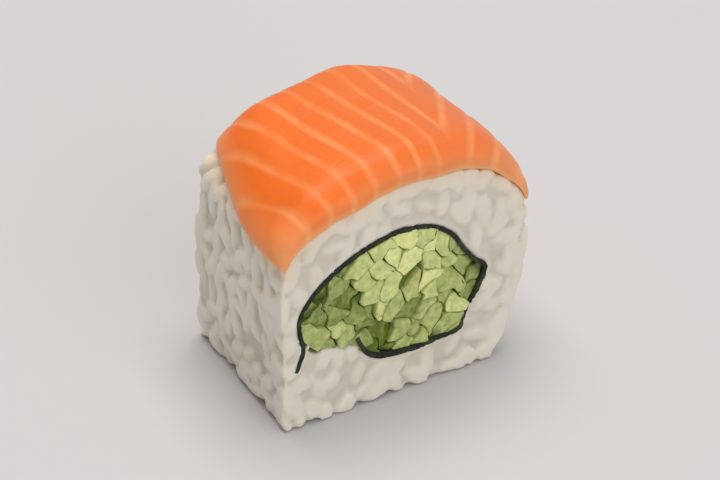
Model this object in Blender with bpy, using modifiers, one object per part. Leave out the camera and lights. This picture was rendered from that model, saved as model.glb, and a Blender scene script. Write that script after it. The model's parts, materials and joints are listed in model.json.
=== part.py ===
"""One piece of an inside-out sushi roll, lying as it is served: a thick ring of pressed rice round
a wrapped strip of nori and a bundle of cucumber shreds, with a thin slice of raw salmon draped over
the top. The roll's axis runs along Y, the cut face that shows best looks along -Y, and the piece
stands on the flat side of its rice. Metres, +Z up, origin at the middle of the base.
"""

import math

import bpy
from mathutils import Vector

MM = 0.001

# The cut: a roll 184 mm long is cut into eight, with the knife turned a little from square.
# Towards its back the piece's right shoulder sinks by BACK_DROOP.
PIECE_DEPTH = 23.0 * MM
KNIFE_SKEW = math.radians(13)
BACK_DROOP = 3.6 * MM

# Outlines on the cut face, as x and z in mm, clockwise from the lower left.
RICE_OUTLINE = (
    (-16.6, -0.4), (-17.9, 5.8), (-18.5, 11.0), (-18.7, 17.0), (-18.4, 21.4), (-16.2, 23.8),
    (-11.0, 25.7), (-3.5, 26.9), (3.5, 26.8), (9.0, 25.9), (12.9, 23.4), (16.0, 19.6),
    (17.0, 15.5), (16.6, 10.2), (14.9, 4.8), (11.7, -0.2), (7.0, -0.5), (-10.0, -0.5),
)
LUMP = 0.3 * MM

# The nori starts as a tail at the lower left, goes up and over the filling, makes one pleat on the
# right, comes back underneath and ends tucked upwards. The filling meets the rice in between.
NORI_TAIL = ((-16.2, 7.4), (-15.3, 9.9))
NORI_OVER = (
    (-15.9, 12.4), (-15.9, 14.6), (-13.9, 17.1), (-10.5, 19.2), (-6.2, 20.6), (-1.8, 21.1),
    (2.5, 20.2), (5.6, 18.2), (7.6, 15.5),
)
NORI_PLEAT = ((9.1, 13.8), (10.7, 12.3), (9.5, 9.6))
NORI_UNDER = ((8.0, 7.6), (7.3, 5.5), (4.4, 5.2), (1.0, 5.0), (-2.7, 5.3), (-5.2, 6.0))
NORI_TUCK = ((-6.4, 7.2), (-7.5, 9.0))
FILLING_EDGE = ((-9.6, 8.0), (-13.5, 9.4))
FILLING_IN_PLEAT = ((8.9, 11.9),)
NORI_THICKNESS = 0.5 * MM

# Salmon: thickness in the middle, the share of it at the edges, and how quickly it thins towards its
# left and right edges and its two cut ends. Its left and right edges lie at a share of the way
# round the rice's outline, at the front and at the back, and the left one starts to rise at a
# share of the depth.
SALMON_THICKNESS = 3.2 * MM
SALMON_EDGE_SHARE = 0.3
SALMON_THINNING = (6.0, 2.4)
SALMON_END_FULLNESS = 0.65
SALMON_END_THINNING = 3.5
SALMON_LEFT = (0.198, 0.232)
SALMON_LEFT_RISE = 0.4
SALMON_RIGHT = (0.555, 0.53)

GAP = 0.3 * MM
CUTTER_OVERRUN = 0.15

RICE_SIDES, RICE_RINGS = 72, 5
FILLING_SIDES, FILLING_RINGS = 48, 5
ROOM_SIDES = 96
NORI_COLUMNS = 108
SALMON_COLUMNS, SALMON_ROWS = 40, 9
CURVE_STEPS = 12


def smooth_line(points, closed):
    """A smooth line through outline points, densely sampled, in metres."""
    count = len(points)
    line = []
    for i in range(count if closed else count - 1):
        if closed:
            ends = [Vector(points[(i + k) % count]) for k in (-1, 0, 1, 2)]
        else:
            ends = [Vector(points[min(max(i + k, 0), count - 1)]) for k in (-1, 0, 1, 2)]
        before, start, end, after = ends
        for step in range(CURVE_STEPS):
            t = step / CURVE_STEPS
            bend = (2 * before - 5 * start + 4 * end - after) * t * t
            twist = (3 * start - before - 3 * end + after) * t * t * t
            line.append((2 * start + (end - before) * t + bend + twist) * (MM / 2))
    line.append(Vector(points[0 if closed else -1]) * MM)
    return line


def walk(line, share, inset=0.0):
    """The point at a share of a line's length, moved inwards on a line that runs clockwise."""
    lengths = [(b - a).length for a, b in zip(line, line[1:])]
    left = share * sum(lengths)
    for a, b, length in zip(line, line[1:], lengths):
        if left <= length or b is line[-1]:
            along = (b - a) / length
            return a + along * left + Vector((along.y, -along.x)) * inset
        left -= length


RICE_LINE = smooth_line(RICE_OUTLINE, True)
ROOM_LINE = smooth_line(NORI_OVER + NORI_PLEAT + NORI_UNDER + FILLING_EDGE, True)
BUNDLE_LINE = smooth_line(NORI_OVER + FILLING_IN_PLEAT + NORI_UNDER + FILLING_EDGE, True)
NORI_LINE = smooth_line(NORI_TAIL + NORI_OVER + NORI_PLEAT + NORI_UNDER + NORI_TUCK, False)


def laid(point, share):
    """A point of the cut face carried to its place along the skewed roll: share runs from 0 at the
    front cut to 1 at the back one, and the right shoulder sinks towards the back."""
    x, z = point
    y = (share - 0.5) * PIECE_DEPTH
    outwards = max(0.0, x / (17 * MM))
    upwards = max(0.0, z / (27 * MM))
    return Vector((x + math.tan(KNIFE_SKEW) * y, y, z - BACK_DROOP * share * outwards * upwards))


def lumps(turn, share):
    """How far pressed grains stand out at a place on the rice, in metres."""
    angle = 2 * math.pi * turn
    waves = (
        math.sin(6 * angle + 5 * share + 0.6)
        + 0.7 * math.sin(11 * angle - 9 * share + 2.1)
        + 0.5 * math.sin(19 * angle + 14 * share)
    )
    return LUMP * waves / 2.2


def rice_surface(turn, share):
    """The rice's outside: pressed flat underneath, lumpy everywhere else."""
    x, z = walk(RICE_LINE, turn, -lumps(turn, share))
    return laid((x, max(0.0, z)), share)


def filling_surface(turn, share):
    """The cucumber bundle's uneven outside, just inside the nori."""
    ripple = LUMP * 0.5 * (1 - math.sin(9 * 2 * math.pi * turn + 4 * share))
    return laid(walk(BUNDLE_LINE, turn, NORI_THICKNESS / 2 + GAP + ripple), share)


def room_surface(turn, share):
    """The hollow in the rice, out to the nori's midline."""
    return laid(walk(ROOM_LINE, turn), share)


def salmon_surface(across, share):
    """The slice's underside on the rice: across runs from 0 at its left edge to 1 at its right."""
    rise = max(0.0, (share - SALMON_LEFT_RISE) / (1 - SALMON_LEFT_RISE))
    left = SALMON_LEFT[0] + (SALMON_LEFT[1] - SALMON_LEFT[0]) * rise
    right = SALMON_RIGHT[0] + (SALMON_RIGHT[1] - SALMON_RIGHT[0]) * share
    turn = left + (right - left) * across
    return laid(walk(RICE_LINE, turn, -lumps(turn, share) - GAP * 1.2), share)


def material(name, colour, roughness):
    """A plain Principled material of one colour."""
    made = bpy.data.materials.new(name)
    made.use_nodes = True
    shader = made.node_tree.nodes["Principled BSDF"]
    shader.inputs["Base Color"].default_value = (*colour, 1)
    shader.inputs["Roughness"].default_value = roughness
    shader.inputs["Metallic"].default_value = 0
    return made


def adopt(name, collection, finish=None):
    """Names the active object, puts it in a collection and gives it its material."""
    made = bpy.context.object
    made.name = made.data.name = name
    for old in list(made.users_collection):
        old.objects.unlink(made)
    collection.objects.link(made)
    if finish:
        made.data.materials.append(finish)
    return made


def solid_log(name, collection, sides, rings, surface, finish=None, overrun=0.0):
    """A closed log along Y: a cylinder whose side follows surface(turn, share)."""
    bpy.ops.mesh.primitive_cylinder_add(vertices=sides, radius=1, depth=1, end_fill_type="TRIFAN")
    made = adopt(name, collection, finish)
    bpy.ops.object.mode_set(mode="EDIT")
    bpy.ops.mesh.select_all(action="DESELECT")
    bpy.ops.object.mode_set(mode="OBJECT")
    for edge in made.data.edges:
        low, high = (made.data.vertices[i].co for i in edge.vertices)
        edge.select = abs(low.z - high.z) > 0.5
    bpy.ops.object.mode_set(mode="EDIT")
    bpy.ops.mesh.select_mode(type="EDGE")
    bpy.ops.mesh.subdivide(number_cuts=rings - 1, quadcorner="INNERVERT")
    bpy.ops.object.mode_set(mode="OBJECT")
    for vertex in made.data.vertices:
        share = (0.5 - vertex.co.z) * (1 + 2 * overrun) - overrun
        turn = (-math.atan2(vertex.co.y, vertex.co.x) / (2 * math.pi)) % 1.0
        if vertex.co.xy.length > 0.01:
            vertex.co = surface(turn, share)
        else:
            vertex.co = (surface(0.0, share) + surface(0.5, share)) / 2
    return made


def draped_sheet(name, collection, columns, rows, surface, finish=None):
    """An open sheet whose points follow surface(across, share), both from 0 to 1."""
    bpy.ops.mesh.primitive_grid_add(x_subdivisions=columns, y_subdivisions=rows, size=1)
    made = adopt(name, collection, finish)
    for vertex in made.data.vertices:
        vertex.co = surface(vertex.co.x + 0.5, vertex.co.y + 0.5)
    return made


def thicken(sheet, thickness, offset):
    """Gives an open sheet its thickness: offset 0 to both sides, 1 along its normals."""
    solidify = sheet.modifiers.new("thickness", "SOLIDIFY")
    solidify.thickness = thickness
    solidify.offset = offset
    solidify.use_even_offset = True
    return solidify


def nori_sheet(name, collection, thickness, end_length, overrun, finish=None):
    """The nori strip, or a thicker copy of it, its ends longer by end_length, as a cutter."""
    line = list(NORI_LINE)
    line.insert(0, line[0] + (line[0] - line[1]).normalized() * end_length)
    line.append(line[-1] + (line[-1] - line[-2]).normalized() * end_length)

    def surface(across, share):
        return laid(walk(line, across), share * (1 + 2 * overrun) - overrun)

    sheet = draped_sheet(name, collection, NORI_COLUMNS, 1, surface, finish)
    thicken(sheet, thickness, 0)
    return sheet


def cut(target, cutter):
    """Cuts one solid by another, which isn't part of the object."""
    cutter.hide_render = True
    cutter.display_type = "WIRE"
    boolean = target.modifiers.new("cut_by_" + cutter.name, "BOOLEAN")
    boolean.operation = "DIFFERENCE"
    boolean.solver = "EXACT"
    boolean.object = cutter


def make_rice(parts, cutters):
    """The ring of rice, cut to leave room for the nori and for the filling where no nori is."""
    finish = material("sushi_rice", (0.78, 0.75, 0.69), 0.45)
    rice = solid_log("rice", parts, RICE_SIDES, RICE_RINGS, rice_surface, finish)
    room = solid_log("filling_room", cutters, ROOM_SIDES, 1, room_surface, overrun=CUTTER_OVERRUN)
    slot = nori_sheet("nori_slot", cutters, NORI_THICKNESS + 2 * GAP, GAP, CUTTER_OVERRUN)
    cut(rice, slot)
    cut(rice, room)


def make_nori(parts):
    """The strip of nori between the rice and the filling."""
    finish = material("nori", (0.012, 0.020, 0.010), 0.5)
    nori_sheet("nori", parts, NORI_THICKNESS, 0.0001 * MM, 0.0, finish)


def make_filling(parts, cutters):
    """The bundle of cucumber shreds, with a slot for the nori's tucked end."""
    finish = material("cucumber", (0.36, 0.44, 0.14), 0.35)
    filling = solid_log(
        "cucumber_filling", parts, FILLING_SIDES, FILLING_RINGS, filling_surface, finish
    )
    slot = nori_sheet("nori_tuck_slot", cutters, NORI_THICKNESS + 2 * GAP, GAP, CUTTER_OVERRUN)
    cut(filling, slot)


def make_salmon(parts):
    """The slice of salmon over the top, thinner towards its two long edges."""
    finish = material("salmon", (0.86, 0.26, 0.06), 0.35)
    salmon = draped_sheet(
        "salmon_slice", parts, SALMON_COLUMNS, SALMON_ROWS, salmon_surface, finish
    )
    body = salmon.vertex_groups.new(name="body")
    row = SALMON_COLUMNS + 1
    for vertex in salmon.data.vertices:
        across = (vertex.index % row) / SALMON_COLUMNS
        along = (vertex.index // row) / SALMON_ROWS
        left_share = SALMON_THINNING[0] * across
        right_share = SALMON_THINNING[1] * (1 - across)
        end_share = SALMON_END_FULLNESS + SALMON_END_THINNING * min(along, 1 - along)
        fullness = min(1.0, left_share, right_share) ** 0.6 * min(1.0, end_share)
        body.add([vertex.index], fullness, "REPLACE")
    solidify = thicken(salmon, SALMON_THICKNESS, 1)
    solidify.vertex_group = body.name
    solidify.thickness_vertex_group = SALMON_EDGE_SHARE


def centre_on_base(parts):
    """Moves the whole piece so that the middle of its bounding box's floor is at the origin."""
    bpy.context.view_layer.update()
    graph = bpy.context.evaluated_depsgraph_get()
    corners = [
        part.matrix_world @ Vector(corner)
        for part in parts.objects
        for corner in part.evaluated_get(graph).bound_box
    ]
    middle = [
        (min(c[axis] for c in corners) + max(c[axis] for c in corners)) / 2
        for axis in range(2)
    ]
    for thing in bpy.data.objects:
        thing.location.x -= middle[0]
        thing.location.y -= middle[1]


def main():
    for old in list(bpy.data.objects):
        bpy.data.objects.remove(old)
    parts = bpy.data.collections.new("salmon_roll_piece")
    cutters = bpy.data.collections.new("cutters")
    for collection in (parts, cutters):
        bpy.context.scene.collection.children.link(collection)
    make_rice(parts, cutters)
    make_nori(parts)
    make_filling(parts, cutters)
    make_salmon(parts)
    centre_on_base(parts)


main()
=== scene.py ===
"""The looks of one piece of an inside-out sushi roll: rice grains pressed together, a strip of
nori, cucumber shreds and a slice of raw salmon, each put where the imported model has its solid.
Metres, +Z up; the roll runs along Y and its best cut looks along -Y.
"""
import json
import math
import random

import bpy
from mathutils import Matrix, Vector, noise
from mathutils.bvhtree import BVHTree

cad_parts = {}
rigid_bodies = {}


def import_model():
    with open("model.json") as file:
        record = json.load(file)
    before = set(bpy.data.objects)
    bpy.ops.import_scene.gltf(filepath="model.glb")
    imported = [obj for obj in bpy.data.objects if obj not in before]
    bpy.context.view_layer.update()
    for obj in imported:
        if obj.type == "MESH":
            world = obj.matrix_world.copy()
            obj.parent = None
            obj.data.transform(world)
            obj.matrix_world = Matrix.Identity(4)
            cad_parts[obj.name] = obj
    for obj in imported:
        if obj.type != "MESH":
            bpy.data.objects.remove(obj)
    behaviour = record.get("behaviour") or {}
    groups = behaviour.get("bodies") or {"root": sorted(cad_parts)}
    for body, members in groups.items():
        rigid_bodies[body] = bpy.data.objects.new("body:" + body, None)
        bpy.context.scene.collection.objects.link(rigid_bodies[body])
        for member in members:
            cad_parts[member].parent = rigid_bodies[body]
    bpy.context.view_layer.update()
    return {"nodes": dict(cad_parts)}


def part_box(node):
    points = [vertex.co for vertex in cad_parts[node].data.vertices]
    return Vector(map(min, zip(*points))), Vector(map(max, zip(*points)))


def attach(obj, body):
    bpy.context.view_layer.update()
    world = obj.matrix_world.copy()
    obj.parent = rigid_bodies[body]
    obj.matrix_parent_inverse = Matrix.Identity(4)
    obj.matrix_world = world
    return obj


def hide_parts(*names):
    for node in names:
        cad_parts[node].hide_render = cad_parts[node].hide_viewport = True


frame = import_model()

MM = 0.001


# ---- Rice --------------------------------------------------------------------------------------
# Cooked short-grain rice, seasoned and pressed into a ring round the filling by the rolling mat.
# Plump grains, about 5 mm long, lie flush with each other in a bed of crushed grains and starch
# that sticks them together, and the knife has gone through them at both ends of the piece.
BED_VOXEL = 0.35 * MM
BED_SINK = 0.45 * MM
BED_LUMP_SIZE = 0.9 * MM
BED_LUMP_HEIGHT = 0.14 * MM
BED_PIT_SIZE = 2.4 * MM
BED_PIT_FROM = 0.25
BED_PIT_DEPTH = 0.35 * MM
BED_FOOT_HEIGHT = 2.2 * MM
BED_FOOT_SINK = 0.55 * MM
BED_SWELL = 0.34 * MM
BED_SWELL_REACH = 0.6 * MM
BED_FLANK_FACING = 0.6
RICE_WHITE = "f0ebdf"
RICE_SHADE = "e0d8c6"
# Painted shade for the creases between the grains.
RICE_PAINTED_CREASE_SHADE = "d3cbb9"
# Painted warm light bounced off the salmon onto the rice near it.
RICE_SALMON_BOUNCE_LIGHT = "f8cfa0"
SALMON_BOUNCE_STRENGTH = 0.4
# Points nearer to each other than this are one point.
WELD = 0.001 * MM


def deselect_all():
    """Leaves nothing selected, so that an operator acts on the new piece alone."""
    bpy.ops.object.select_all(action="DESELECT")


def make_active(piece):
    """Selects one object alone and makes it the active one."""
    deselect_all()
    piece.select_set(True)
    bpy.context.view_layer.objects.active = piece


def copy_of(node, name):
    """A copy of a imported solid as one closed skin, selected and active."""
    mesh = frame["nodes"][node].data.copy()
    piece = bpy.data.objects.new(name, mesh)
    mesh.name = name
    mesh.materials.clear()
    bpy.context.scene.collection.objects.link(piece)
    make_active(piece)
    bpy.ops.object.mode_set(mode="EDIT")
    bpy.ops.mesh.select_all(action="SELECT")
    bpy.ops.mesh.remove_doubles(threshold=WELD)
    bpy.ops.object.mode_set(mode="OBJECT")
    return piece


def modify(piece, kind, **settings):
    """Adds a modifier with its settings and applies it."""
    modifier = piece.modifiers.new(kind.lower(), kind)
    for setting, value in settings.items():
        setattr(modifier, setting, value)
    make_active(piece)
    bpy.ops.object.modifier_apply(modifier=modifier.name)


def linear(hex_colour):
    """An sRGB hex colour as linear RGBA."""
    levels = [int(hex_colour[i : i + 2], 16) / 255 for i in (0, 2, 4)]
    return [c / 12.92 if c <= 0.04045 else ((c + 0.055) / 1.055) ** 2.4 for c in levels] + [1.0]


def feed(tree, node, inputs):
    """Sets a node's inputs: a value is put on the socket, another node's socket is linked to it."""
    for socket, value in inputs.items():
        if isinstance(value, bpy.types.NodeSocket):
            tree.links.new(value, node.inputs[socket])
        else:
            node.inputs[socket].default_value = value


def add(tree, kind, inputs=None, **settings):
    """Adds a node with its settings and links."""
    node = tree.nodes.new(kind)
    for setting, value in settings.items():
        setattr(node, setting, value)
    feed(tree, node, inputs or {})
    return node


def new_material(name):
    """An empty Principled material, its node tree and its shader."""
    material = bpy.data.materials.new(name)
    material.use_nodes = True
    tree = material.node_tree
    return material, tree, tree.nodes["Principled BSDF"]


# Boiled rice is moist and lets light in about a millimetre, so its edges glow and its gaps stay pale.
# Some grains are chalkier, the sunk creases are darkened with painted shade, the rice near the
# salmon is warmed with painted light bounced off it, and vinegar leaves a gloss.
boiled_rice, tree, shader = new_material("boiled_rice")
place = add(tree, "ShaderNodeTexCoord").outputs["Object"]
chalk = add(tree, "ShaderNodeTexNoise", {"Vector": place, "Scale": 1 / (2.6 * MM), "Detail": 3.0})
skin_grain = add(tree, "ShaderNodeTexNoise", {"Vector": place, "Scale": 1 / (0.35 * MM), "Detail": 2.0})
colour = add(
    tree, "ShaderNodeMix",
    {0: chalk.outputs["Fac"], 6: linear(RICE_SHADE), 7: linear(RICE_WHITE)},
    data_type="RGBA",
)
# Painted shade: the deeper a point lies under the grains' tops, the darker its colour.
painted_crease_shade = add(tree, "ShaderNodeAttribute", attribute_name="painted_crease_shade").outputs["Fac"]
colour = add(
    tree, "ShaderNodeMix",
    {0: painted_crease_shade, 6: colour.outputs[2], 7: linear(RICE_PAINTED_CREASE_SHADE)},
    data_type="RGBA",
)
# Painted light: the rice near the salmon is warmed as if lit by light bounced off it.
salmon_bounce_light = add(tree, "ShaderNodeAttribute", attribute_name="salmon_bounce_light").outputs["Fac"]
salmon_bounce_light = add(tree, "ShaderNodeMath", {0: salmon_bounce_light, 1: SALMON_BOUNCE_STRENGTH}, operation="MULTIPLY")
colour = add(
    tree, "ShaderNodeMix",
    {0: salmon_bounce_light.outputs["Value"], 6: colour.outputs[2], 7: linear(RICE_SALMON_BOUNCE_LIGHT)},
    data_type="RGBA",
)
bump = add(
    tree, "ShaderNodeBump",
    {"Height": skin_grain.outputs["Fac"], "Strength": 0.2, "Distance": 0.05 * MM},
)
feed(tree, shader, {
    "Base Color": colour.outputs[2],
    "Roughness": 0.36,
    "IOR": 1.38,
    "Subsurface Weight": 0.7,
    "Subsurface Radius": (1.0, 0.85, 0.65),
    "Subsurface Scale": 1.1 * MM,
    "Normal": bump.outputs["Normal"],
})


def reshape(piece, move):
    """Moves each vertex to where move(place, normal, index) says, and shades the piece smooth."""
    vertices = piece.data.vertices
    places = [(vertex.co.copy(), vertex.normal.copy()) for vertex in vertices]
    for i, (place, normal) in enumerate(places):
        vertices[i].co = move(place, normal, i)
    make_active(piece)
    bpy.ops.object.shade_smooth()


def without_crumbs(piece, place):
    """Deletes what hangs loose from the skin that passes nearest to a place."""
    nearest = min(piece.data.vertices, key=lambda vertex: (vertex.co - place).length).index
    make_active(piece)
    bpy.ops.object.mode_set(mode="EDIT")
    bpy.ops.mesh.select_mode(type="VERT")
    bpy.ops.mesh.select_all(action="DESELECT")
    bpy.ops.object.mode_set(mode="OBJECT")
    piece.data.vertices[nearest].select = True
    bpy.ops.object.mode_set(mode="EDIT")
    bpy.ops.mesh.select_linked()
    bpy.ops.mesh.select_all(action="INVERT")
    bpy.ops.mesh.delete(type="VERT")
    bpy.ops.object.mode_set(mode="OBJECT")


def skin(*nodes):
    """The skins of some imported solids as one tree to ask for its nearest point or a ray's hit."""
    points, faces = [], []
    for node in nodes:
        mesh = frame["nodes"][node].data
        first = len(points)
        points += [vertex.co.copy() for vertex in mesh.vertices]
        faces += [[first + i for i in face.vertices] for face in mesh.polygons]
    return BVHTree.FromPolygons(points, faces)


core_skin = skin("nori", "cucumber_filling")


def sunk_bed(place, normal, _):
    """A bed point: up to the nori inside, and sunk under the grains outside, most at the foot."""
    on_flank = abs(normal.y) < BED_FLANK_FACING
    if on_flank and core_skin.find_nearest(place)[3] < BED_SWELL_REACH:
        return place + normal * BED_SWELL
    foot = max(0.0, 1 - place.z / BED_FOOT_HEIGHT) * (1 - abs(normal.z))
    pit = max(0.0, noise.noise(place / BED_PIT_SIZE) - BED_PIT_FROM) * BED_PIT_DEPTH
    lump = noise.noise(place / BED_LUMP_SIZE) * BED_LUMP_HEIGHT
    return place + normal * (lump - BED_SINK - pit - foot * BED_FOOT_SINK)


bed = copy_of("rice", "rice_bed")
modify(bed, "REMESH", mode="VOXEL", voxel_size=BED_VOXEL)
reshape(bed, sunk_bed)

RICE_VOXEL = 0.28 * MM
CREASE_SHADE_DEPTH = 0.6 * MM
SALMON_BOUNCE_REACH = 2.6 * MM
GRAIN_LENGTH = 5.4 * MM
GRAIN_WIDTH = 2.6 * MM
GRAIN_THICKNESS = 0.88 * GRAIN_WIDTH
GRAIN_SIZES = (0.88, 1.1)
GRAIN_BEND = math.radians(28)
GRAIN_SPACING = 2.05 * MM
FLANK_DEPTH = (0.90 * MM, 1.20 * MM)
CUT_DEPTH = (0.80 * MM, 1.25 * MM)
FLANK_TILT = math.radians(8)
CUT_TILT = math.radians(25)
PRESSED_FROM = 0.16 * MM
PRESSED_FLAT = 0.12 * MM
FOOT_HEIGHT = 3.0 * MM
FOOT_PROUD = 0.35 * MM
CENTRE_TO_CORE = 0.7 * MM
TRIES_PER_POINT = 14
# A face is part of one of the two cuts when its normal goes at least this far along the roll.
CUT_FACING = 0.9


def inside(tree_of_skin, point):
    """Whether a point is inside a closed skin: a way out from it crosses the skin an odd number of
    times."""
    # Any way will do that runs along no face.
    way = Vector((0.31, 0.17, 0.94)).normalized()
    crossings = 0
    hit = tree_of_skin.ray_cast(point, way)[0]
    while hit is not None:
        crossings += 1
        hit = tree_of_skin.ray_cast(hit + way * WELD, way)[0]
    return crossings % 2 == 1


def points_on(mesh, spacing, chance):
    """Points all over a mesh, at least spacing apart, each with the normal there."""
    triangles = []
    for face in mesh.polygons:
        corners = [mesh.vertices[i].co for i in face.vertices]
        for i in range(1, len(corners) - 1):
            triangle = (corners[0], corners[i], corners[i + 1])
            area = (triangle[1] - triangle[0]).cross(triangle[2] - triangle[0]).length / 2
            triangles.append((triangle, area, face.normal.copy()))
    areas = [area for _, area, _ in triangles]
    tries = int(TRIES_PER_POINT * sum(areas) / spacing**2)
    kept, cells = [], {}
    for (a, b, c), _, normal in chance.choices(triangles, areas, k=tries):
        s, t = math.sqrt(chance.random()), chance.random()
        point = a * (1 - s) + b * (s * (1 - t)) + c * (s * t)
        cell = [math.floor(v / spacing) for v in point]
        around = [
            other
            for i in (-1, 0, 1) for j in (-1, 0, 1) for k in (-1, 0, 1)
            for other in cells.get((cell[0] + i, cell[1] + j, cell[2] + k), [])
        ]
        if all((point - other).length > spacing for other in around):
            cells.setdefault(tuple(cell), []).append(point)
            kept.append((point, normal))
    return kept


def pressed(height, proud):
    """The height at which a board pressed on the rice leaves a point that would stand higher."""
    over = height - proud + PRESSED_FROM
    return height if over < 0 else proud - PRESSED_FROM / (1 + over / PRESSED_FLAT)


def pressed_point(centre, point):
    """A grain's point kept under the roll's outside, between the cuts and out of the core."""
    proud = FOOT_PROUD * max(0.0, 1 - point.z / FOOT_HEIGHT)
    for _ in range(2):
        near, normal, _, _ = outside.find_nearest(point)
        height = (point - near).dot(normal)
        point = point + normal * (pressed(height, proud * (1 - abs(normal.z))) - height)
    point.y = front_cut - pressed(front_cut - point.y, proud)
    point.y = back_cut + pressed(point.y - back_cut, proud)
    point.z = -pressed(-point.z, 0.0)
    way = (point - centre).normalized()
    hit = core_skin.ray_cast(centre, way, (point - centre).length)[3]
    return point if hit is None else centre + way * hit


hull = copy_of("rice", "rice_outside")
bpy.ops.object.mode_set(mode="EDIT")
bpy.ops.mesh.select_all(action="SELECT")
bpy.ops.mesh.convex_hull()
bpy.ops.object.mode_set(mode="OBJECT")
outside = BVHTree.FromPolygons(
    [vertex.co for vertex in hull.data.vertices],
    [face.vertices for face in hull.data.polygons],
)
rice_skin = skin("rice")
front_cut, back_cut = (corner.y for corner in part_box("rice"))

deselect_all()
bpy.ops.mesh.primitive_uv_sphere_add(segments=10, ring_count=6, radius=1.0)
grain = bpy.context.object
bpy.ops.object.mode_set(mode="EDIT")
bpy.ops.transform.resize(value=(GRAIN_WIDTH / 2, GRAIN_THICKNESS / 2, GRAIN_LENGTH / 2))
bpy.ops.object.mode_set(mode="OBJECT")
modify(grain, "SIMPLE_DEFORM", deform_method="BEND", deform_axis="X", angle=GRAIN_BEND)
bpy.ops.object.shade_smooth()

chance = random.Random(8)
grains = []
for point, normal in points_on(hull.data, GRAIN_SPACING, chance):
    on_cut = abs(normal.y) > CUT_FACING
    centre = point - normal * chance.uniform(*(CUT_DEPTH if on_cut else FLANK_DEPTH))
    if not inside(rice_skin, centre) or core_skin.find_nearest(centre)[3] < CENTRE_TO_CORE:
        continue
    lie = normal.to_track_quat("X", "Z").to_matrix().to_4x4()
    spin = Matrix.Rotation(chance.uniform(0, math.tau), 4, "X")
    tilt = Matrix.Rotation(chance.gauss(0, CUT_TILT if on_cut else FLANK_TILT), 4, "Y")
    roll = Matrix.Rotation(chance.uniform(0, math.tau), 4, "Z")
    size = Matrix.Diagonal((*(chance.uniform(*GRAIN_SIZES) for _ in range(3)), 1))
    turn = Matrix.Translation(centre) @ lie @ spin @ tilt @ roll @ size
    one = bpy.data.objects.new("grain", grain.data.copy())
    bpy.context.scene.collection.objects.link(one)
    for vertex in one.data.vertices:
        vertex.co = pressed_point(centre, turn @ vertex.co)
    grains.append(one)
bpy.data.objects.remove(hull)
bpy.data.objects.remove(grain)


def joined(pieces, name):
    """Some objects joined into one of that name."""
    deselect_all()
    for piece in pieces:
        piece.select_set(True)
    bpy.context.view_layer.objects.active = pieces[0]
    bpy.ops.object.join()
    pieces[0].name = pieces[0].data.name = name
    return pieces[0]


rice = joined([bed, *grains], "rice_grains")
modify(rice, "REMESH", mode="VOXEL", voxel_size=RICE_VOXEL)
without_crumbs(rice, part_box("rice")[0])
bpy.ops.object.shade_smooth()
painted_crease_shades = rice.data.attributes.new("painted_crease_shade", "FLOAT", "POINT").data
salmon_bounce_lights = rice.data.attributes.new("salmon_bounce_light", "FLOAT", "POINT").data
salmon_skin = skin("salmon_slice")
# Each point keeps how deep it is sunk, for the painted crease shade, and how near it is to the salmon,
# for the painted bounce light.
for vertex in rice.data.vertices:
    to_cut = min(vertex.co.y - front_cut, back_cut - vertex.co.y)
    sunk = min(to_cut, outside.find_nearest(vertex.co)[3])
    painted_crease_shades[vertex.index].value = min(1.0, max(0.0, sunk / CREASE_SHADE_DEPTH))
    to_salmon = salmon_skin.find_nearest(vertex.co)[3]
    salmon_bounce_lights[vertex.index].value = max(0.0, 1 - to_salmon / SALMON_BOUNCE_REACH)
rice.data.materials.append(boiled_rice)
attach(rice, "root")
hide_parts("rice")


# ---- Nori --------------------------------------------------------------------------------------
# A sheet of dried seaweed that the rice has softened, wrapped round the filling. At the cuts its
# edge is torn a little by the knife, and the rest of it is hidden between rice and cucumber.
NORI_THINNING = 0.25 * MM
NORI_THINNING_SIZE = 2.5 * MM
NORI_TEAR = 0.35 * MM
NORI_TEAR_SIZE = 0.8 * MM
NORI_WAVE = 0.08 * MM
NORI_WAVE_SIZE = 1.6 * MM
NORI_CUTS = 7
NORI_SHARP = math.radians(50)
NORI_BLACK = "171c10"
NORI_GREEN = "3c4822"

# Pressed seaweed: green-black, with thinner greenish spots and the print of the drying mat.
dried_seaweed, tree, shader = new_material("dried_seaweed")
place = add(tree, "ShaderNodeTexCoord").outputs["Object"]
spots = add(tree, "ShaderNodeTexNoise", {"Vector": place, "Scale": 1 / (1.8 * MM), "Detail": 4.0})
strength = add(tree, "ShaderNodeMapRange", {
    "Value": spots.outputs["Fac"], "From Min": 0.45, "From Max": 0.75,
})
colour = add(
    tree, "ShaderNodeMix",
    {0: strength.outputs["Result"], 6: linear(NORI_BLACK), 7: linear(NORI_GREEN)},
    data_type="RGBA",
)
fibres = add(tree, "ShaderNodeTexNoise", {"Vector": place, "Scale": 1 / (0.25 * MM), "Detail": 2.0})
bump = add(tree, "ShaderNodeBump", {
    "Height": fibres.outputs["Fac"], "Strength": 0.5, "Distance": 0.08 * MM,
})
feed(tree, shader, {
    "Base Color": colour.outputs[2],
    "Roughness": 0.55,
    "Specular IOR Level": 0.3,
    "Normal": bump.outputs["Normal"],
})

nori = copy_of("nori", "nori_sheet")
nori_low, nori_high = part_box("nori")
bpy.ops.object.mode_set(mode="EDIT")
bpy.ops.mesh.select_all(action="DESELECT")
bpy.ops.object.mode_set(mode="OBJECT")
for edge in nori.data.edges:
    ends = [nori.data.vertices[i].co for i in edge.vertices]
    edge.select = abs(ends[0].y - ends[1].y) > (nori_high.y - nori_low.y) / 2
bpy.ops.object.mode_set(mode="EDIT")
bpy.ops.mesh.select_mode(type="EDGE")
bpy.ops.mesh.subdivide(number_cuts=NORI_CUTS)
bpy.ops.object.mode_set(mode="OBJECT")

# Vector noise starts from the clock unless it is given a seed.
noise.seed_set(1)


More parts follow.
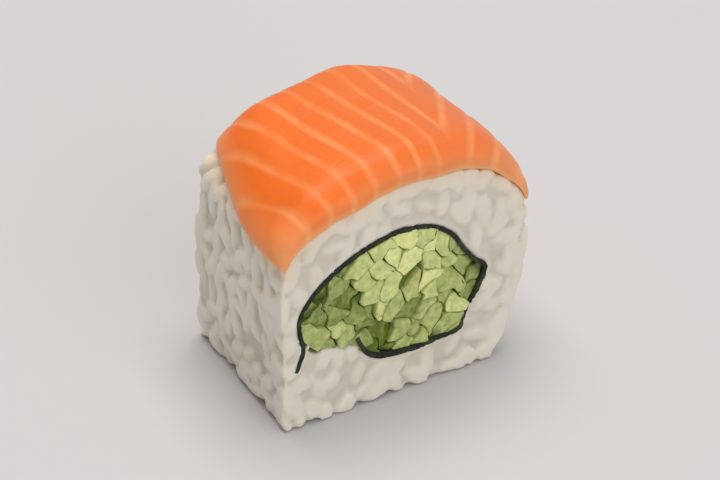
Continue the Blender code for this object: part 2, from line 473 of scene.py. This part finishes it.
def softened(place, normal, _):
    """A nori point: the wet sheet cockles a little, and the knife tears its two cut edges."""
    thinned = max(0.0, noise.noise(place / NORI_THINNING_SIZE)) * NORI_THINNING
    wave = noise.noise_vector(place / NORI_WAVE_SIZE) * NORI_WAVE - normal * thinned
    torn = abs(noise.noise(place / NORI_TEAR_SIZE)) * NORI_TEAR
    y = max(nori_low.y + torn, min(nori_high.y - torn, place.y))
    return Vector((place.x + wave.x, y, place.z + wave.z))


reshape(nori, softened)
bpy.ops.object.shade_smooth_by_angle(angle=NORI_SHARP)
nori.data.materials.append(dried_seaweed)
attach(nori, "root")
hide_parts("nori")


# ---- Cucumber ----------------------------------------------------------------------------------
# A bundle of fresh cucumber shreds, 1 to 3 mm thick, squeezed against each other and the nori until
# hardly a gap is left. They run the whole length of the piece, some with a strip of the dark green
# rind, and the knife leaves their ends a little proud or short and not quite square.
SHRED_SPACING = 1.95 * MM
SHRED_WEIGHT = 1.7 * MM
SQUEEZE_REACH = 3.2 * MM
SQUEEZE_LEFT = 0.06 * MM
SHRED_GAP = 0.05 * MM
SHRED_REACH = 4 * SHRED_SPACING
SHRED_ASPECT = 1.55
SHRED_LIE = math.radians(25)
SHRED_LIE_RANGE = math.radians(150)
SHRED_LIE_SIZE = 9 * MM
SHRED_EDGE = 0.30 * MM
SHRED_EDGE_STEPS = 3
SHRED_FACET = 0.6 * MM
SHRED_FACET_CUTS = 2
SHRED_FLAT = math.radians(6)
SHRED_SHARP = math.radians(40)
SHRED_SWAY = 0.9 * MM
SHRED_SWAY_SIZE = 1.7 * MM
SHRED_DOME = 0.07 * MM
SHRED_PROUD = 0.10 * MM
SHRED_SHORT = 0.85 * MM
SHRED_VARIETY = 0.35
SHRED_SLANT = 0.13
# How far an end stands short or proud, in shares of SHRED_PROUD.
FRONT_ENDS = (-0.5, 1)
BACK_ENDS = (-1, 1)
CUT_MARGIN = 0.1 * MM
RIND_THICKNESS = 0.65 * MM
UNDER_RIND = 0.9 * MM
RIND_SHARE = 0.20
RIND_GREENNESS = 0.7
PLACE_BLUR = 0.3
ROLL_SKEW = math.radians(13)
CORE_DEPTH = 1.7 * MM
CORE_VOXEL = 0.4 * MM
FLESH_PALE = "ebf1a3"
FLESH_GREEN = "5f7410"
UNDER_RIND_GREEN = "5b7024"
RIND_GREEN = "33471a"
# How green some places of the bundle are, 0 watery and pale to 1 dark, as x and z in mm from its
# middle. The list was thinned, rounded and adjusted by hand from spots of the photo's colours that
# a scratch script had averaged.
GREEN_PLACES = (
    (-9, 3, 0.9), (-6, 1, 0.8), (-6, -3, 0.4), (-2, 4, 0.3), (3, 5, 0.0), (0, 0, 0.0),
    (3, 2, 0.8), (7, 1, 0.0), (11, 0, 0.7), (4, -3, 0.7), (-1, -4, 1.0), (6, -6, 0.4),
)

# Wet cucumber flesh: pale, watery and translucent, greener towards the rind, with a grain of
# small juicy cells.
cucumber_flesh, tree, shader = new_material("cucumber_flesh")
place = add(tree, "ShaderNodeTexCoord").outputs["Object"]
green = add(tree, "ShaderNodeAttribute", attribute_name="greenness").outputs["Fac"]
near_rind = add(tree, "ShaderNodeAttribute", attribute_name="near_rind").outputs["Fac"]
mottle = add(tree, "ShaderNodeTexNoise", {"Vector": place, "Scale": 1 / (0.8 * MM), "Detail": 3.0})
mottle = add(tree, "ShaderNodeMapRange", {
    "Value": mottle.outputs["Fac"], "From Min": 0.3, "From Max": 0.7, "To Min": -0.15, "To Max": 0.2,
})
shade = add(
    tree, "ShaderNodeMath", {0: green, 1: mottle.outputs["Result"]},
    operation="ADD", use_clamp=True,
)
colour = add(
    tree, "ShaderNodeMix",
    {0: shade.outputs["Value"], 6: linear(FLESH_PALE), 7: linear(FLESH_GREEN)},
    data_type="RGBA",
)
colour = add(
    tree, "ShaderNodeMix",
    {0: near_rind, 6: colour.outputs[2], 7: linear(UNDER_RIND_GREEN)},
    data_type="RGBA",
)
cells = add(tree, "ShaderNodeTexNoise", {"Vector": place, "Scale": 1 / (0.9 * MM), "Detail": 3.0})
bump = add(tree, "ShaderNodeBump", {
    "Height": cells.outputs["Fac"], "Strength": 0.5, "Distance": 0.35 * MM,
})
feed(tree, shader, {
    "Base Color": colour.outputs[2],
    "Roughness": 0.25,
    "IOR": 1.36,
    "Subsurface Weight": 0.3,
    "Subsurface Radius": (0.9, 1.0, 0.35),
    "Subsurface Scale": 0.6 * MM,
    "Normal": bump.outputs["Normal"],
})

# Cucumber rind: waxy, dark green, with lighter flecks.
cucumber_rind, tree, shader = new_material("cucumber_rind")
place = add(tree, "ShaderNodeTexCoord").outputs["Object"]
flecks = add(tree, "ShaderNodeTexNoise", {"Vector": place, "Scale": 1 / (0.6 * MM), "Detail": 2.0})
colour = add(
    tree, "ShaderNodeMix",
    {0: flecks.outputs["Fac"], 6: linear(RIND_GREEN), 7: linear(UNDER_RIND_GREEN)},
    data_type="RGBA",
)
feed(tree, shader, {"Base Color": colour.outputs[2], "Roughness": 0.3, "IOR": 1.4})


def shrunk_core(place, normal, _):
    """A point of the bundle's core, well inside the shreds."""
    place = place - normal * CORE_DEPTH / 2
    y = max(front_cut + CORE_DEPTH, min(back_cut - CORE_DEPTH, place.y))
    return Vector((place.x, y, place.z))


# A dark core stands behind the shreds, so that no light comes through between them. Its dark rind
# colour is painted shade in the gaps between the shreds.
core = copy_of("cucumber_filling", "cucumber_core_painted_shade")
modify(core, "REMESH", mode="VOXEL", voxel_size=CORE_VOXEL)
without_crumbs(core, Vector())
reshape(core, shrunk_core)
core.data.materials.append(cucumber_rind)
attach(core, "root")
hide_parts("cucumber_filling")

wrapping_skin = skin("nori", "rice")


def squeezed(place, normal, _):
    """A point of the bundle's outside, moved out until it all but touches the nori or the rice."""
    way = Vector((normal.x, 0, normal.z)).normalized()
    on_cut = abs(normal.y) >= CUT_FACING
    hit = None if on_cut else wrapping_skin.ray_cast(place, way, SQUEEZE_REACH)[3]
    return place if hit is None else place + way * (hit - SQUEEZE_LEFT)


bundle = copy_of("cucumber_filling", "cucumber_bundle")
reshape(bundle, squeezed)
filling_low, filling_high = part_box("cucumber_filling")
roll_axis = Vector((math.tan(ROLL_SKEW), 1, 0)).normalized()
skew_shift = math.tan(ROLL_SKEW) * (back_cut - front_cut) / 2
bundle_middle = (filling_low + filling_high) / 2 - Vector((skew_shift, 0, 0))


def greenness(seed):
    """How green the bundle is at a shred, from its nearest known places."""
    near = Vector((seed.x - bundle_middle.x, seed.z - bundle_middle.z)) / MM
    weights = [1 / (PLACE_BLUR + (near - Vector((x, z))).length ** 3) for x, z, _ in GREEN_PLACES]
    greens = [weight * green for weight, (_, _, green) in zip(weights, GREEN_PLACES)]
    green = sum(greens) / sum(weights)
    return min(1.0, max(0.0, green + noise.noise(seed / SHRED_SPACING) * SHRED_VARIETY))


def square_to_roll(way):
    """A way on the cut face, turned to stand square to the roll."""
    return roll_axis.cross(Vector((-way.z, 0, way.x))).normalized()


def bisect(point, way, clear):
    """Cuts the mesh in edit mode along the roll, square to a way on the cut face, and if told to
    clears what is beyond the cut and closes it."""
    bpy.ops.mesh.select_all(action="SELECT")
    bpy.ops.mesh.bisect(
        plane_co=point, plane_no=square_to_roll(way),
        clear_outer=clear, use_fill=clear, threshold=WELD,
    )


def swayed(place):
    """A point of a shred where squeezing has bent the walls between the shreds, which stay shut."""
    in_section = place - roll_axis * (place.y / roll_axis.y)
    sway = noise.noise_vector(in_section / SHRED_SWAY_SIZE) * SHRED_SWAY
    sway *= min(1.0, wrapping_skin.find_nearest(place)[3] / SHRED_SWAY)
    return place + Vector((sway.x, 0, sway.z))


def copy_of_bundle(name):
    """A copy of the bundle, selected and active."""
    piece = bpy.data.objects.new(name, bundle.data.copy())
    bpy.context.scene.collection.objects.link(piece)
    make_active(piece)
    return piece


chance = random.Random(33)
cut_face = copy_of_bundle("bundle_cut_face")
bpy.ops.object.mode_set(mode="EDIT")
bpy.ops.mesh.select_all(action="DESELECT")
bpy.ops.mesh.select_mode(type="FACE")
bpy.ops.object.mode_set(mode="OBJECT")
for face in cut_face.data.polygons:
    face.select = face.center.y > front_cut + CUT_MARGIN
bpy.ops.object.mode_set(mode="EDIT")
bpy.ops.mesh.delete(type="FACE")
bpy.ops.object.mode_set(mode="OBJECT")
seeds = [
    (point, chance.uniform(0, SHRED_WEIGHT) ** 2)
    for point, _ in points_on(cut_face.data, SHRED_SPACING, chance)
]
bpy.data.objects.remove(cut_face)


def cut_out(seed, weight):
    """The shred round a seed, still in edit mode: the bundle cut between it and each neighbour,
    nearer to the lighter one, so that the shreds lie flat in a way that turns over the bundle."""
    shred = copy_of_bundle("shred")
    bpy.ops.object.mode_set(mode="EDIT")
    for other, other_weight in sorted(seeds, key=lambda pair: (pair[0] - seed).length):
        away = other - seed
        if 0 < away.length < SHRED_REACH:
            lie = SHRED_LIE + noise.noise((seed + other) / SHRED_LIE_SIZE) * SHRED_LIE_RANGE
            thin_way = Vector((-math.sin(lie), 0, math.cos(lie)))
            facing = away + thin_way * away.dot(thin_way) * (SHRED_ASPECT**2 - 1)
            share = 0.5 + (weight - other_weight) / (2 * away.dot(facing))
            bisect(seed + away * share - facing.normalized() * SHRED_GAP, facing, True)
    # Where the squeeze has folded the bundle's outside, the cuts leave a shred open. It is closed
    # as the plain bar round what is there.
    bpy.ops.mesh.select_all(action="DESELECT")
    bpy.ops.mesh.select_mode(type="EDGE")
    bpy.ops.mesh.select_non_manifold()
    if shred.data.total_edge_sel > 0:
        bpy.ops.mesh.select_all(action="SELECT")
        bpy.ops.mesh.convex_hull()
    return shred


def round_off(shred):
    """Rounds the edges of a shred that is still in edit mode, divides the outline of its two ends
    and swells them into low domes."""
    bpy.ops.mesh.select_all(action="SELECT")
    bpy.ops.mesh.dissolve_limited(angle_limit=SHRED_FLAT)
    bpy.ops.mesh.select_all(action="DESELECT")
    bpy.ops.mesh.edges_select_sharp(sharpness=SHRED_SHARP)
    bpy.ops.mesh.bevel(offset=SHRED_EDGE, segments=SHRED_EDGE_STEPS, clamp_overlap=True)
    bpy.ops.mesh.select_all(action="DESELECT")
    bpy.ops.object.mode_set(mode="OBJECT")
    for edge in shred.data.edges:
        ends = [shred.data.vertices[i].co for i in edge.vertices]
        along = ends[0] - ends[1]
        edge.select = abs(along.y) < SHRED_EDGE and along.length > SHRED_FACET
    bpy.ops.object.mode_set(mode="EDIT")
    bpy.ops.mesh.subdivide(number_cuts=SHRED_FACET_CUTS)
    bpy.ops.mesh.select_all(action="DESELECT")
    bpy.ops.object.mode_set(mode="OBJECT")
    for face in shred.data.polygons:
        face.select = abs(face.normal.y) > CUT_FACING
    bpy.ops.object.mode_set(mode="EDIT")
    bpy.ops.mesh.poke(offset=SHRED_DOME)
    bpy.ops.object.mode_set(mode="OBJECT")


shreds = []
for seed, weight in seeds:
    shred = cut_out(seed, weight)
    round_off(shred)
    without_crumbs(shred, seed)

    # Some shreds have rind along one side, the green ones most of all.
    green = greenness(seed)
    has_rind = chance.random() < RIND_SHARE + max(0.0, green - RIND_GREENNESS)
    turn = chance.uniform(0, math.tau)
    outwards = Vector((math.cos(turn), 0, math.sin(turn)))
    across = square_to_roll(outwards)
    front = [vertex.co for vertex in shred.data.vertices if vertex.co.y < 0]
    rind_start = max(((place - seed).dot(across) for place in front), default=0) - RIND_THICKNESS
    if has_rind:
        bpy.ops.object.mode_set(mode="EDIT")
        bisect(seed + across * (rind_start - UNDER_RIND), outwards, False)
        bisect(seed + across * rind_start, outwards, False)
        bpy.ops.object.mode_set(mode="OBJECT")
    shred.data.materials.append(cucumber_flesh)
    shred.data.materials.append(cucumber_rind)
    for face in shred.data.polygons:
        if has_rind and (face.center - seed).dot(across) > rind_start:
            face.material_index = 1

    # The squeeze bends the shred, and each of its ends stands proud or short and a little aslant.
    greens = shred.data.attributes.new("greenness", "FLOAT", "POINT").data
    near_rinds = shred.data.attributes.new("near_rind", "FLOAT", "POINT").data
    slant = Vector((chance.gauss(0, SHRED_SLANT), 0, chance.gauss(0, SHRED_SLANT)))
    front_end = -chance.uniform(*FRONT_ENDS) * SHRED_PROUD + green**2 * SHRED_SHORT
    back_end = chance.uniform(*BACK_ENDS) * SHRED_PROUD
    for vertex in shred.data.vertices:
        vertex.co = swayed(vertex.co)
        off = vertex.co - seed
        greens[vertex.index].value = green
        depth = (rind_start - off.dot(across)) / UNDER_RIND
        near_rinds[vertex.index].value = max(0.0, 1 - max(0.0, depth)) if has_rind else 0.0
        off -= roll_axis * off.y / roll_axis.y
        if vertex.co.y < 0:
            vertex.co.y = max(front_cut - SHRED_PROUD, vertex.co.y + front_end + off.dot(slant))
        else:
            vertex.co.y = min(back_cut + SHRED_PROUD, vertex.co.y + back_end - off.dot(slant))
    make_active(shred)
    bpy.ops.object.shade_smooth_by_angle(angle=SHRED_SHARP)
    shreds.append(shred)

bpy.data.objects.remove(bundle)

cucumber = joined(shreds, "cucumber_shreds")
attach(cucumber, "root")
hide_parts("cucumber_filling")


# ---- Salmon ------------------------------------------------------------------------------------
# A slice of raw salmon 3 mm thick, cut across the fillet, so that its pale fat runs over it in
# chevrons, and pressed on with the mat until it hugs the rice. Its cut ends droop over the rice.
SALMON_VOXEL = 0.28 * MM
SALMON_SMOOTHING = 0.6
SALMON_SMOOTHINGS = 24
ROLL_HEIGHT = 14 * MM
FAT_SPACING = 3.3 * MM
FAT_AXIS = math.radians(19)
FAT_SPREAD = math.radians(19)
FAT_GROOVE = 0.10 * MM
# How far from its middle a line's groove, its core and its edge go, in flakes.
FAT_GROOVE_REACH = 0.14
FAT_LINE_CORE = 0.02
FAT_LINE_EDGE = 0.24
FAT_WANDER = 0.7 * MM
FAT_WANDER_SIZE = 10 * MM
FAT_TIP = Vector((4.0, -11.5, 0)) * MM
SALMON_END_LENGTH = 6 * MM
SALMON_END_THINNING = 1.5 * MM
SALMON_THIN = 2.0 * MM
PALE_BELOW = 2.9 * MM
PAINTED_LIGHT_CORNER = 6 * MM
PALE_BELOW_MOST = 0.75
PAINTED_LIGHT_CORNER_MOST = 0.5
PAINTED_LIGHT_END_MOST = 0.35
SALMON_BEDDED = 0.5 * MM
FIBRE_LENGTH = 3.5 * MM
FIBRE_WIDTH = 0.5 * MM
BLUSH_FROM = -14 * MM
BLUSH_TO = 18 * MM
SALMON_ORANGE = "ee6e08"
SALMON_PINK = "de7842"
FAT_PALE = "f9a96a"
EDGE_PALE_AND_PAINTED_LIGHT = "ffc88e"

# Raw salmon: moist orange flesh that light goes well into, with pale fat between its flakes. It is
# paler where the slice is thin over the rice, and painted light lightens its cut ends and front corner.
raw_salmon, tree, shader = new_material("raw_salmon")
place = add(tree, "ShaderNodeTexCoord").outputs["Object"]
flake = add(tree, "ShaderNodeAttribute", attribute_name="flake").outputs["Fac"]
thin_and_painted_light = add(tree, "ShaderNodeAttribute", attribute_name="thinness_and_painted_light").outputs["Fac"]
wave = add(tree, "ShaderNodeMath", {0: flake, 1: 1.0}, operation="FRACT")
off_line = add(tree, "ShaderNodeMath", {0: wave.outputs["Value"], 1: 0.5}, operation="SUBTRACT")
off_line = add(tree, "ShaderNodeMath", {0: off_line.outputs["Value"]}, operation="ABSOLUTE")
fat = add(tree, "ShaderNodeMapRange", {
    "Value": off_line.outputs["Value"], "From Min": FAT_LINE_EDGE, "From Max": FAT_LINE_CORE,
}, interpolation_type="SMOOTHSTEP")
patchy = add(tree, "ShaderNodeTexNoise", {"Vector": place, "Scale": 1 / (5 * MM), "Detail": 2.0})
patchy = add(tree, "ShaderNodeMapRange", {
    "Value": patchy.outputs["Fac"], "From Min": 0.3, "From Max": 0.65, "To Min": 0.12, "To Max": 0.52,
})
fat = add(tree, "ShaderNodeMath", {
    0: fat.outputs["Result"], 1: patchy.outputs["Result"],
}, operation="MULTIPLY")
fibre_frame = add(tree, "ShaderNodeMapping", {
    "Vector": place, "Rotation": (0, 0, FAT_AXIS),
    "Scale": (1 / FIBRE_LENGTH, 1 / FIBRE_WIDTH, 1 / FIBRE_WIDTH),
})
fibres = add(tree, "ShaderNodeTexNoise", {
    "Vector": fibre_frame.outputs["Vector"], "Scale": 1.0, "Detail": 3.0,
})
along_x = add(tree, "ShaderNodeSeparateXYZ", {"Vector": place})
blush = add(tree, "ShaderNodeMapRange", {
    "Value": along_x.outputs["X"], "From Min": BLUSH_FROM, "From Max": BLUSH_TO,
})
streaks = add(tree, "ShaderNodeMapRange", {
    "Value": fibres.outputs["Fac"], "From Min": 0.3, "From Max": 0.7, "To Min": -0.25, "To Max": 0.25,
})
blush = add(
    tree, "ShaderNodeMath", {0: blush.outputs["Result"], 1: streaks.outputs["Result"]},
    operation="ADD", use_clamp=True,
)
flesh = add(
    tree, "ShaderNodeMix",
    {0: blush.outputs["Value"], 6: linear(SALMON_ORANGE), 7: linear(SALMON_PINK)},
    data_type="RGBA",
)
striped = add(
    tree, "ShaderNodeMix",
    {0: fat.outputs["Value"], 6: flesh.outputs[2], 7: linear(FAT_PALE)},
    data_type="RGBA",
)
# Paler where the slice is thin over the rice, and painted light at its cut ends and front corner.
colour = add(
    tree, "ShaderNodeMix",
    {0: thin_and_painted_light, 6: striped.outputs[2], 7: linear(EDGE_PALE_AND_PAINTED_LIGHT)},
    data_type="RGBA",
)
bump = add(tree, "ShaderNodeBump", {
    "Height": fibres.outputs["Fac"], "Strength": 0.3, "Distance": 0.12 * MM,
})
feed(tree, shader, {
    "Base Color": colour.outputs[2],
    "Roughness": 0.42,
    "IOR": 1.36,
    "Subsurface Weight": 0.35,
    "Subsurface Radius": (1.0, 0.45, 0.2),
    "Subsurface Scale": 1.6 * MM,
    "Normal": bump.outputs["Normal"],
})

salmon = copy_of("salmon_slice", "salmon_slice_soft")
modify(salmon, "REMESH", mode="VOXEL", voxel_size=SALMON_VOXEL)
modify(salmon, "SMOOTH", factor=SALMON_SMOOTHING, iterations=SALMON_SMOOTHINGS)
salmon_low, salmon_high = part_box("salmon_slice")
roll_middle = Vector((0, 0, ROLL_HEIGHT))
stretch = salmon_high.y / max(vertex.co.y for vertex in salmon.data.vertices)
fat_axis = Vector((math.sin(FAT_AXIS), math.cos(FAT_AXIS), 0))
fat_across = Vector((fat_axis.y, -fat_axis.x, 0))
flakes = salmon.data.attributes.new("flake", "FLOAT", "POINT").data
thinness_and_painted_light = salmon.data.attributes.new("thinness_and_painted_light", "FLOAT", "POINT").data


def flaked(place, normal, index):
    """A salmon point, sunk a little along the fat between the flakes, its cut ends drooping. It
    also keeps how many flakes it is from the tip, and how much paler it is painted there: where the
    slice is thin over the rice, and with painted light at its cut ends and its front corner."""
    off = place - FAT_TIP
    wander = noise.noise(place / FAT_WANDER_SIZE) * FAT_WANDER
    ahead = off.dot(fat_axis) * math.sin(FAT_SPREAD)
    aside = abs(off.dot(fat_across)) * math.cos(FAT_SPREAD)
    flake = (ahead - aside + wander) / FAT_SPACING
    flakes[index].value = flake
    in_groove = max(0.0, 1 - abs(flake % 1 - 0.5) / FAT_GROOVE_REACH)
    groove = FAT_GROOVE * in_groove if normal.z > 0 else 0.0
    to_end = min(place.y - salmon_low.y, salmon_high.y - place.y)
    end = max(0.0, 1 - to_end / SALMON_END_LENGTH) ** 3
    to_rice = rice_skin.find_nearest(place)[3]
    above_rice = min(1.0, to_rice / SALMON_THIN)
    inwards = (roll_middle + roll_axis * place.y / roll_axis.y - place).normalized()
    to_corner = (place.xy - salmon_low.xy).length
    # The term below the slice is its thinness over the rice; the corner and end terms are painted
    # light.
    thinness_and_painted_light[index].value = max(
        PALE_BELOW_MOST * (1 - to_rice / PALE_BELOW),
        PAINTED_LIGHT_CORNER_MOST * (1 - to_corner / PAINTED_LIGHT_CORNER),
        PAINTED_LIGHT_END_MOST * end**3,
    )
    drop = SALMON_BEDDED * (1 - above_rice) + SALMON_END_THINNING * end * above_rice
    place = place - normal * groove + inwards * drop
    return Vector((place.x, place.y * stretch, place.z))


reshape(salmon, flaked)
salmon.data.materials.append(raw_salmon)
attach(salmon, "root")
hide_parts("salmon_slice")


# ---- Floor, lights and camera ------------------------------------------------------------------
# A pale tabletop under soft light from above and in front, seen from the front left corner, from
# well above.
FLOOR_SIZE = 3000 * MM
TABLETOP_GREY = "cbc9c9"
STUDIO_WHITE = "f2f1f4"
STUDIO_STRENGTH = 0.5

# Painted board: matt and even, so that nothing on it draws the eye from the piece.
painted_board, tree, shader = new_material("painted_board")
feed(tree, shader, {"Base Color": linear(TABLETOP_GREY), "Roughness": 0.6})

deselect_all()
bpy.ops.mesh.primitive_plane_add(size=FLOOR_SIZE)
floor = bpy.context.object
floor.name = "floor"
floor.data.materials.append(painted_board)

world = bpy.data.worlds.new("studio")
world.use_nodes = True
background = world.node_tree.nodes["Background"]
feed(world.node_tree, background, {"Color": linear(STUDIO_WHITE), "Strength": STUDIO_STRENGTH})
bpy.context.scene.world = world


def softbox(name, place, size, power, tint):
    """A square area light that looks at the piece."""
    light = bpy.data.lights.new(name, "AREA")
    light.size = size
    light.energy = power
    light.color = linear(tint)[:3]
    holder = bpy.data.objects.new(name, light)
    holder.location = place
    holder.rotation_euler = (-Vector(place)).to_track_quat("-Z", "Y").to_euler()
    bpy.context.scene.collection.objects.link(holder)


softbox("overhead", place=(0.05, 0.12, 0.55), size=0.40, power=2.2, tint="fffaf4")
softbox("front", place=(-0.04, -0.60, 0.36), size=0.60, power=1.75, tint="fbfcff")

CAMERA_AZIMUTH = math.radians(-40)
CAMERA_ELEVATION = math.radians(30.5)
CAMERA_ROLL = math.radians(3)
CAMERA_DISTANCE = 1.34
FRAME_WIDTH = 80.5 * MM
AIM = Vector((-5.8, -7.3, 18.8)) * MM
camera = bpy.data.cameras.new("camera")
camera.lens = camera.sensor_width * CAMERA_DISTANCE / FRAME_WIDTH
camera.clip_end = 10
viewer = bpy.data.objects.new("camera", camera)
back = Vector((
    math.sin(CAMERA_AZIMUTH) * math.cos(CAMERA_ELEVATION),
    -math.cos(CAMERA_AZIMUTH) * math.cos(CAMERA_ELEVATION),
    math.sin(CAMERA_ELEVATION),
))
viewer.location = AIM + back * CAMERA_DISTANCE
facing = (-back).to_track_quat("-Z", "Y").to_matrix().to_4x4()
viewer.rotation_euler = (facing @ Matrix.Rotation(CAMERA_ROLL, 4, "Z")).to_euler()
bpy.context.scene.collection.objects.link(viewer)
bpy.context.scene.camera = viewer
bpy.context.scene.view_settings.view_transform = "Standard"
